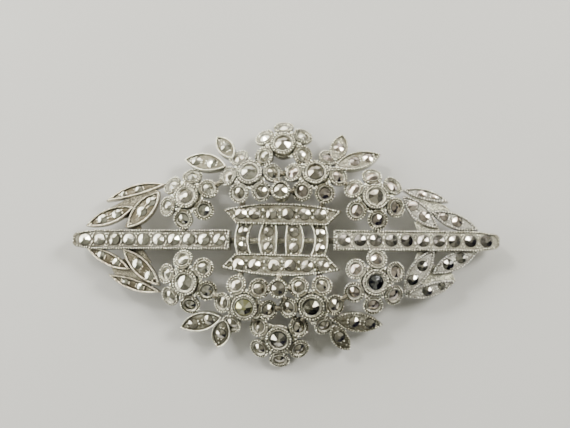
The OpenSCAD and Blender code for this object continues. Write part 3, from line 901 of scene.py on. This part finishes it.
def add_cup(shape, stone, wide, foot, height, lip, band, towards, gap):
    """A stone's cup with a grain edge, open over a gap in degrees on the side away from +X."""
    at = facing(stone.centre + stone.axis * CUP_BOWL, stone.axis, towards)
    shape.lathe(cup_profile(wide, foot, height, stone.radius, lip, band), at)
    radius = wide / 2 - CUP_GRAIN_INSET
    end = 180 - gap / 2
    shape.grain_ring(radius, CUP_GRAIN_Z, -end, end, CUP_GRAIN, CUP_PITCH, at)


# Beads of solder beside a petal. Each row: degrees from the petal, distance from the centre, size
SOLDER_BEADS = [(-38, 2.06, 0.2), (-22, 2.06, 0.2), (-30, 2.34, 0.3)]
BEAD_Z = -COLLAR_Z - 0.05
BEAD_UNEVEN = 0.25
HUB_SIDES = 48


def make_flower(name):
    """The cups of one flower, with its centre stone and its petal stones returned."""
    centre = stones_of("centre_stone_" + name)[0]
    petals = stones_of("petal_stones_" + name)
    shape = Shape()
    at = facing(centre.centre + centre.axis * CUP_BOWL, centre.axis, (1, 0, 0))
    profile = cup_profile(HUB_D, HUB_FOOT_D, HUB_H, centre.radius, HUB_LIP, HUB_BAND, hub_wall())
    shape.lathe(profile, at, HUB_SIDES)
    shape.grain_ring(HUB_D / 2 - CUP_GRAIN_INSET, HUB_GRAIN_Z, 0, 360, CUP_GRAIN, CUP_PITCH, at)
    for petal in petals:
        outwards = petal.centre - centre.centre
        add_cup(shape, petal, CUP_D, CUP_FOOT_D, CUP_H, CUP_LIP, CUP_BAND, outwards, PETAL_GAP)
        x, y, _ = np.linalg.inv(at)[:3, :3] @ outwards
        spin = turn("Z", math.degrees(math.atan2(y, x)))
        for aside, reach, wide in SOLDER_BEADS:
            bead = at @ spin @ turn("Z", aside) @ move(reach, 0, BEAD_Z)
            shape.grain(bead, (wide, wide, wide), BEAD_UNEVEN)
    make_silver("flower_" + name, shape, FLOWER_SILVERS.get(name, "flower"))
    return centre, petals


def make_single(name, stone):
    shape = Shape()
    add_cup(shape, stone, SINGLE_D, SINGLE_D, SINGLE_H, SINGLE_LIP, SINGLE_BAND, (1, 0, 0), 0)
    make_silver("single_cup_" + name, shape)


def on_leaf(spot, length):
    """Whether a stone at a spot in a leaf's own axes stands in that leaf."""
    half_width, height = 0.8, 0.1
    x, y, z = spot
    return abs(x) < length / 2 and abs(y) < half_width and abs(z + LEAF_RECESS) < height


def add_leaf_prongs(shape, at, length, stones):
    """Four prongs round each stone and one near the leaf's tip, where there is room for them."""
    prong_gap, prong_y, prong_rise, inwards = 0.16, 0.3, 0.02, 0.9
    end_room, tip_room = 0.9, 1.3
    tip_x = length / 2 - 0.85
    spots = sorted((*seen_from(at, stone.centre), stone.radius) for stone in stones)
    for stone_x, stone_y, _, radius in spots:
        for side in (-1, 1):
            for end in (-1, 1):
                x = stone_x + end * (radius + prong_gap)
                y = stone_y * inwards + side * prong_y * radius
                if abs(x) < length / 2 - end_room:
                    shape.grain(at @ move(x, y, -LEAF_RECESS + prong_rise), LEAF_PRONG)
    if spots and tip_x - spots[-1][0] > tip_room:
        shape.grain(at @ move(tip_x, 0, -LEAF_RECESS), SMALL_PRONG)


def make_leaves(kind, quarter, rows):
    """One quarter's flower or end leaves, milled on the right and with smooth rims on the left."""
    ends = kind == "end"
    shape = Shape()
    stones = stones_of(f"{kind}_leaf_stones_{quarter}")
    milled = quarter.endswith("right")
    # The right end leaves have the lit frosted silver, a frosty finish with brighter colours of painted
    # light; the left ones have the leaf silver, a darker copy with painted shade
    end_finish = "lit_frosted" if milled else "leaf"
    edge_w = END_LEAF_EDGE_W if ends else LEAF_EDGE_W
    for row in rows:
        at, length = leaf_place(row, ends)
        left, right = row[4:]
        outline = leaf_outline(length, left, right)
        mine = [stone for stone in stones if on_leaf(seen_from(at, stone.centre), length)]
        if milled:
            # The leaves' grain beds have painted light in place of the other beds' painted shade
            profile = milled_edge(LEAF_T, edge_w, LEAF_RECESS, FIELD_RISE, bed=0)
        else:
            profile = smooth_edge(LEAF_T, edge_w, LEAF_RECESS)
        blank = Shape()
        blank.plate(outline, profile, at)
        add_mesh(shape, drilled(blank, mine))
        if milled:
            edge = outline(edge_w / 2)
            shape.grain_edge(edge + edge[:1], EDGE_GRAIN_Z, EDGE_GRAIN, at, LEAF_GRAIN_FOOT)
        add_leaf_prongs(shape, at, length, mine)
    make_silver(f"{kind}_leaves_{quarter}", shape, end_finish if ends else "flower")


def make_bar(side):
    """A bar with milled edges, and claws and beads between its stones."""
    name = "right" if side > 0 else "left"
    at = bar_place(side)
    stones = stones_of(name + "_bar_stones")
    blank = Shape()
    blank.plate(bar_outline, milled_edge(BAR_T, BAR_EDGE_W, BAR_RECESS), at)
    shape = Shape()
    add_mesh(shape, drilled(blank, stones))
    corners = bar_outline(BAR_EDGE_W / 2)
    for edge in (corners[:3], corners[5:], corners[3:5], [corners[0], corners[-1]]):
        shape.grain_edge(edge, EDGE_GRAIN_Z, EDGE_GRAIN, at)
    places = sorted(seen_from(at, stone.centre)[0] for stone in stones)
    pitch = (places[-1] - places[0]) / (len(places) - 1)
    claw_y, claw_turn, claw_stray = 0.42, 70, 0.05
    bead_x, bead_y, bead_turn = 0.2, 0.86, 45
    for x in [places[0] - pitch / 2] + [place + pitch / 2 for place in places[:-1]]:
        for way in (-1, 1):
            spot = move(x + chance.uniform(-claw_stray, claw_stray), way * claw_y, -BAR_RECESS)
            shape.grain(at @ spot @ turn("Z", way * claw_turn), BAR_CLAW, ROUGH_CAST)
            for end in (-1, 1):
                spot = move(x + end * bead_x, way * bead_y, -BAR_RECESS)
                shape.grain(at @ spot @ turn("Z", -end * way * bead_turn), BAR_BEAD, ROUGH_CAST)
    # The right bar has the lit silver, a brighter copy with painted light
    make_silver("bar_" + name, shape, "lit" if side > 0 else "bar")


def add_rim(shape, side, stones):
    """One rim of the basket: milled edges, and claws between its stones and round them."""
    at = basket_place(side)
    blank = Shape()
    blank.plate(rim_outline, milled_edge(RIM_T, RIM_EDGE_W, RIM_RECESS), at)
    add_mesh(shape, drilled(blank, stones))
    corners = rim_outline(RIM_EDGE_W / 2)
    shape.grain_edge(corners[:3], RIM_GRAIN_Z, EDGE_GRAIN, at)
    for edge in (corners[3:], [corners[-1], corners[0]], [corners[2], corners[3]]):
        shape.grain_edge(edge, RIM_GRAIN_Z, RIDGE_GRAIN, at)
    placed = [(seen_from(at, stone.centre), stone.radius) for stone in stones]
    placed.sort(key=lambda pair: pair[0][0])
    places = [place for place, _ in placed]
    end_gap, claw_y, claw_uneven = (1, 0, 0), 0.5, 0.15
    ring_gap, ring_arcs = 0.14, ((-45, 45), (150, 210))
    gaps = [(a + b) / 2 for a, b in zip(places[:-1], places[1:])]
    for gap in gaps + [places[0] - end_gap, places[-1] + end_gap]:
        for way in (-1, 1):
            spot = move(gap[0], gap[1] + way * claw_y, -RIM_RECESS)
            shape.grain(at @ spot @ turn("Z", 90), RIM_CLAW, claw_uneven)
    for place, radius in placed:
        spot = at @ move(place[0], place[1], -RIM_RECESS)
        for start, end in ring_arcs:
            shape.grain_ring(radius + ring_gap, 0, start, end, RING_CLAW, CLAW_PITCH, spot)


# The section of a stave's rails. Each row: inset, height, polish where it isn't plain
RAILS = [
    (0, -STAVE_T),
    (0, -0.14, 0.8),
    (0.03, -0.05, 1),
    (0.1, 0, 1),
    (0.18, 0, 1),
    (0.25, -0.06, 0.8),
    (0.29, -STAVE_RECESS + 0.03, 0.1),
    (0.34, -STAVE_RECESS, 0.1),
]
# Prongs of a stave, as x from its middle line and y
STAVE_PRONGS = [
    (-0.32, 0), (0.32, 0), (0, -0.13), (0, 0.13),
    (-0.4, 2), (0.4, 2), (-0.4, -2), (0.4, -2),
]


def add_stave(shape, row, side, stones):
    """One stave of the basket, with its own two stones' seats and its prongs."""
    at = basket_place(side) @ move(0, 0, -STAVE_DROP)
    middle = sum(row) / len(row)
    mine = [stone for stone in stones if abs(seen_from(at, stone.centre)[0] - middle) < 1]
    blank = Shape()
    blank.plate(stave_outline(row), RAILS, at)
    add_mesh(shape, drilled(blank, mine))
    for x, y in STAVE_PRONGS:
        shape.grain(at @ move(middle + x, y, -STAVE_RECESS), SMALL_PRONG, ROUGH_CAST)


def make_basket():
    shape = Shape()
    add_rim(shape, 1, stones_of("upper_rim_stones"))
    add_rim(shape, -1, stones_of("lower_rim_stones"))
    stones = stones_of("stave_stones")
    for row in STAVES:
        for side in (1, -1):
            add_stave(shape, row, side, stones)
    make_silver("basket", shape)


# Solder between cups, and posts under them
JOINT_D = 0.8
JOINT_Z = CUP_BOWL - 0.6
JOINT_OVERLAP = 0.25
JOINT_REACH = 0.55
POST_D = 0.9
POST_Z = CUP_BOWL - 1
BAR_POST_Y = 0.9
BAR_POST_Z = CROWN_H - 3.6
RIM_POST_Y = 4.35
RIM_POST_Z = CROWN_H - 2.9
SINGLE_POST_Y = -4.4
SINGLE_POST_DROP = 0.5
# Outer petals this near to the bars have a post, and so do inner ones this near to the rims
BAR_PETAL_Y = 3.4
RIM_PETAL_Y = 7.2
RIM_PETAL_X = 4.5
# The x of a rim post's foot, as a share of its petal's
RIM_POST_X = 0.92
WEB_DROP = 0.45
ROUND_SIDES = 32


def rod(shape, start, end, wide, sides=20):
    start, end = np.array(start, float), np.array(end, float)
    run = end - start
    across = (0, 1, 0) if abs(run[1]) < abs(run[0]) else (1, 0, 0)
    shape.lathe([(wide / 2, 0), (wide / 2, np.linalg.norm(run))], facing(start, run, across), sides)


def make_joints(flowers, singles):
    """Solder between the cups, and posts down to the bars and the basket's rims."""
    shape = Shape()
    cups = [(name, stone, CUP_D / 2) for name, (_, petals) in flowers.items() for stone in petals]
    others = [(name, centre, HUB_D / 2) for name, (centre, _) in flowers.items()]
    others += [(str(i), stone, SINGLE_D / 2) for i, stone in enumerate(singles)]
    for i, (name, cup, r) in enumerate(cups):
        for other_name, other, other_r in cups[i + 1:] + others:
            apart = other.centre - cup.centre
            reach = np.linalg.norm(apart)
            if name != other_name and reach < r + other_r + JOINT_REACH:
                start = cup.centre + cup.axis * JOINT_Z + apart / reach * (r - JOINT_OVERLAP)
                end = other.centre + other.axis * JOINT_Z - apart / reach * (other_r - JOINT_OVERLAP)
                rod(shape, start, end, JOINT_D)
        x, y, _ = cup.centre
        low = cup.centre + cup.axis * POST_Z
        if name.startswith("outer") and abs(y) < BAR_PETAL_Y:
            rod(shape, low, (x, math.copysign(BAR_POST_Y, y), BAR_POST_Z), POST_D)
        if name.startswith("inner") and abs(y) < RIM_PETAL_Y and abs(x) > RIM_PETAL_X:
            foot = (x * RIM_POST_X, math.copysign(RIM_POST_Y, y), RIM_POST_Z)
            rod(shape, low, foot, POST_D)
    x, y, z = singles[0].centre
    rod(shape, (x, y, z - SINGLE_POST_DROP), (x, SINGLE_POST_Y, RIM_POST_Z), POST_D)
    # The solder has the plate silver, a darker copy with painted shade under the cups
    make_silver("solder_joints", shape, "plate")


def make_link_rod():
    """The thin rod between the two bars, behind the basket's staves."""
    below_staves, in_bar = 0.3, 0.5
    z = CROWN_H - BASKET_DROP - STAVE_DROP - STAVE_T - below_staves
    end_x = BAR_INNER + in_bar
    shape = Shape()
    rod(shape, (-end_x, 0, z), (end_x, 0, z), ROD_D, ROUND_SIDES)
    make_silver("link_rod", shape, "bar")


def web_outline(corners):
    """A plate's outline, counter-clockwise and drawn in towards its middle."""
    turned = corners[:, 0] @ np.roll(corners[:, 1], -1) - corners[:, 1] @ np.roll(corners[:, 0], -1)
    ordered = corners if turned > 0 else corners[::-1]
    middle = corners.mean(axis=0)
    spans = np.diff(np.vstack([corners, corners[:1]]), axis=0)
    reach = np.linalg.norm(spans, axis=1).max()

    def outline(inset):
        return middle + (ordered - middle) * (1 - inset / reach)

    return outline


def make_webs():
    """The plates between the end leaves."""
    right, left = Shape(), Shape()
    for points in WEBS:
        corners = np.array(points)
        x, y = corners.mean(axis=0)
        profile = [(0, -WEB_T), (0, -0.05), (0.1, 0)]
        shape = right if x > 0 else left
        shape.plate(web_outline(corners), profile, move(0, 0, end_z(x, y) - WEB_DROP))
    make_silver("leaf_plates_right", right)
    # The left plates have the plate silver, a darker copy with painted shade
    make_silver("leaf_plates_left", left, "plate")


def block(shape, low, high):
    """A block with softened edges."""
    low, high = np.array(low, float), np.array(high, float)
    soft = 0.06

    def outline(inset):
        x0, y0 = low[:2] + inset
        x1, y1 = high[:2] - inset
        return [(x0, y0), (x1, y0), (x1, y1), (x0, y1)]

    shape.plate(outline, [(soft, low[2]), (0, low[2] + soft), (0, high[2] - soft), (soft, high[2])])


def in_bar_z(x):
    """A height a little inside a bar's underside, at a distance from the middle."""
    inside = 0.3
    fall = (x - BAR_INNER) * math.tan(math.radians(BAR_SLOPE))
    return CROWN_H - BAR_DROP - BAR_T + inside - fall


def make_hinge():
    """The two lugs of the hinge and their rivet."""
    shape = Shape()
    lug_y = EYE_W / 2 + HINGE_GAP
    for side in (-1, 1):
        near, far = sorted((side * lug_y, side * (lug_y + LUG_W)))
        low = (HINGE_X - LUG_L / 2, near, 0)
        high = (HINGE_X + LUG_L / 2, far, in_bar_z(HINGE_X))
        block(shape, low, high)
    rivet_y = lug_y + LUG_W / 2
    rod(shape, (HINGE_X, -rivet_y, STEM_Z), (HINGE_X, rivet_y, STEM_Z), RIVET_D, ROUND_SIDES)
    make_silver("hinge", shape, "bar")


def make_catch():
    """The hook of the catch, open towards the brooch's top edge, and its post."""
    inner = STEM_D / 2 + HOOK_GAP
    outer = inner + HOOK_T
    low_x, high_x = -CATCH_X - HOOK_W / 2, -CATCH_X + HOOK_W / 2
    hook_start, hook_end, steps = -171, 90, 30
    angles = np.radians(np.linspace(hook_start, hook_end, steps))
    arc = [(outer * math.cos(t), outer * math.sin(t)) for t in angles]
    arc += [(inner * math.cos(t), inner * math.sin(t)) for t in angles[::-1]]
    shape = Shape()
    shape.loft([np.array([(x, y, z + STEM_Z) for y, z in arc]) for x in (low_x, high_x)])
    block(shape, (low_x, inner, STEM_Z), (high_x, outer, in_bar_z(CATCH_X)))
    make_silver("catch", shape, "bar")


FLOWER_NAMES = ["top", "bottom"] + [
    f"{ring}_{height}_{side}" for ring in ("inner", "outer") for height in ("upper", "lower")
    for side in ("left", "right")
]

flowers = {name: make_flower(name) for name in FLOWER_NAMES}
singles = sorted(stones_of("single_stones"), key=lambda s: s.centre[1])
make_single("lower", singles[0])
make_single("upper", singles[1])
for quarter, rows in FLOWER_LEAVES.items():
    make_leaves("flower", quarter, rows)
    make_leaves("end", quarter, END_LEAVES[quarter])
make_bar(1)
make_bar(-1)
make_basket()
make_joints(flowers, singles)
make_link_rod()
make_webs()
make_hinge()
make_catch()
for node in sorted(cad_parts):
    if "stone" in node:
        make_stones(node)

# The pin keeps its CAD shape
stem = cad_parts["pin_stem"]
stem.data.materials.clear()
stem.data.materials.append(SILVERS["pin"])


# Floor, light and camera

FLOOR_HALF_W = 1500
FLOOR_TONES = (0.72, 0.72, 0.73, 1), (0.76, 0.76, 0.77, 1)
# Each row: name, place, width and height in millimetres, power in watts, colour
LIGHTS = [
    ("window", (-290, 60, 105), 460, 200, 1.65, (1.0, 0.99, 0.90)),
    ("lamp", (-190, 240, 270), 80, 80, 0.7, (1.0, 0.98, 0.88)),
    ("right_lamp", (250, 130, 210), 110, 110, 1.1, (1.0, 0.98, 0.88)),
    ("far_wall", (-60, 330, 130), 460, 160, 0.9, (1.0, 0.96, 0.84)),
]
CEILING = (0.345, 0.34, 0.272, 1)
WALLS = (0.18, 0.177, 0.142, 1)
DARK_CORNER = (0.02, 0.02, 0.03, 1)
# Sides of the room. Each: a direction, and the cosines of the angle from it where the side
# begins and where it is full
OFF_CEILING = (0.2, -0.1, 0.97), 0.84, 0.56
LOW_DOWN = (0, 0, 1), 0.66, 0.4
RIGHT_FRONT = (0.75, -0.65, 0), 0.38, 0.6
# The photograph's view: degrees to the right and to the front of straight above, roll, and lens
PHOTO_ACROSS = 5.03
PHOTO_FORWARD = 8.35
PHOTO_ROLL = -0.897
PHOTO_DISTANCE = 130
PHOTO_TARGET = (0.70, 3.33, CROWN_H)
PHOTO_LENS = 58.43
SENSOR_W = 36


def make_floor():
    h = FLOOR_HALF_W
    shape = Shape()
    shape.add([(-h, -h, 0), (h, -h, 0), (h, h, 0), (-h, h, 0)], [(0, 1, 2, 3)])
    mesh = shape.mesh("floor")
    mesh.transform(Matrix.Scale(MM, 4))
    nodes = Finish("pale floor")
    tone = nodes.mix(nodes.noise(0.05, roughness=0.5), *FLOOR_TONES)
    nodes.link(tone, nodes.shader.inputs["Base Color"])
    nodes.shader.inputs["Roughness"].default_value = 0.7
    nodes.bump(nodes.noise(3, detail=4, roughness=0.5), strength=0.1, depth=0.05)
    mesh.materials.append(nodes.material)
    put("floor", mesh)


def softbox(name, place, wide, high, power, colour):
    """An area light that faces the brooch's middle."""
    data = bpy.data.lights.new(name, "AREA")
    data.shape = "RECTANGLE"
    data.size = wide * MM
    data.size_y = high * MM
    data.energy = power
    data.color = colour
    lamp = put(name, data)
    lamp.location = Vector(place) * MM
    lamp.rotation_euler = (-Vector(place)).to_track_quat("-Z", "Y").to_euler()


def make_world():
    """A taupe room, palest overhead and dark low on the right."""
    world = bpy.data.worlds.new("world")
    world.use_nodes = True
    nodes = Nodes(world.node_tree)
    way = nodes.node("ShaderNodeTexCoord").outputs["Generated"]

    def towards(direction, none, full):
        """0 to 1, as the cosine of the angle from a direction runs from none to full."""
        dot = nodes.node("ShaderNodeVectorMath", operation="DOT_PRODUCT")
        nodes.feed(dot.inputs, (way, Vector(direction).normalized()))
        return nodes.ramp(dot.outputs["Value"], none, full)

    low_right = nodes.maths("MULTIPLY", towards(*RIGHT_FRONT), towards(*LOW_DOWN))
    room = nodes.mix(towards(*OFF_CEILING), CEILING, WALLS)
    nodes.link(nodes.mix(low_right, room, DARK_CORNER), nodes.tree.nodes["Background"].inputs["Color"])
    bpy.context.scene.world = world


def make_camera():
    """The camera, at the photograph's angle over the brooch's front."""
    across, forward, roll = (math.radians(a) for a in (PHOTO_ACROSS, PHOTO_FORWARD, PHOTO_ROLL))
    x = math.sin(across)
    y = -math.sin(forward) * math.cos(across)
    z = math.cos(forward) * math.cos(across)
    back = Vector((x, y, z)).normalized()
    up = Vector((math.sin(roll), math.cos(roll), 0))
    right = up.cross(back).normalized()
    up = back.cross(right)
    data = bpy.data.cameras.new("camera")
    data.sensor_width = SENSOR_W
    data.lens = PHOTO_LENS
    data.clip_start = 0.01
    data.clip_end = 10
    camera = put("camera", data)
    turned = Matrix((right, up, back)).transposed().to_4x4()
    place = (Vector(PHOTO_TARGET) + back * PHOTO_DISTANCE) * MM
    camera.matrix_world = Matrix.Translation(place) @ turned
    bpy.context.scene.camera = camera


make_floor()
for row in LIGHTS:
    softbox(*row)
make_world()
make_camera()
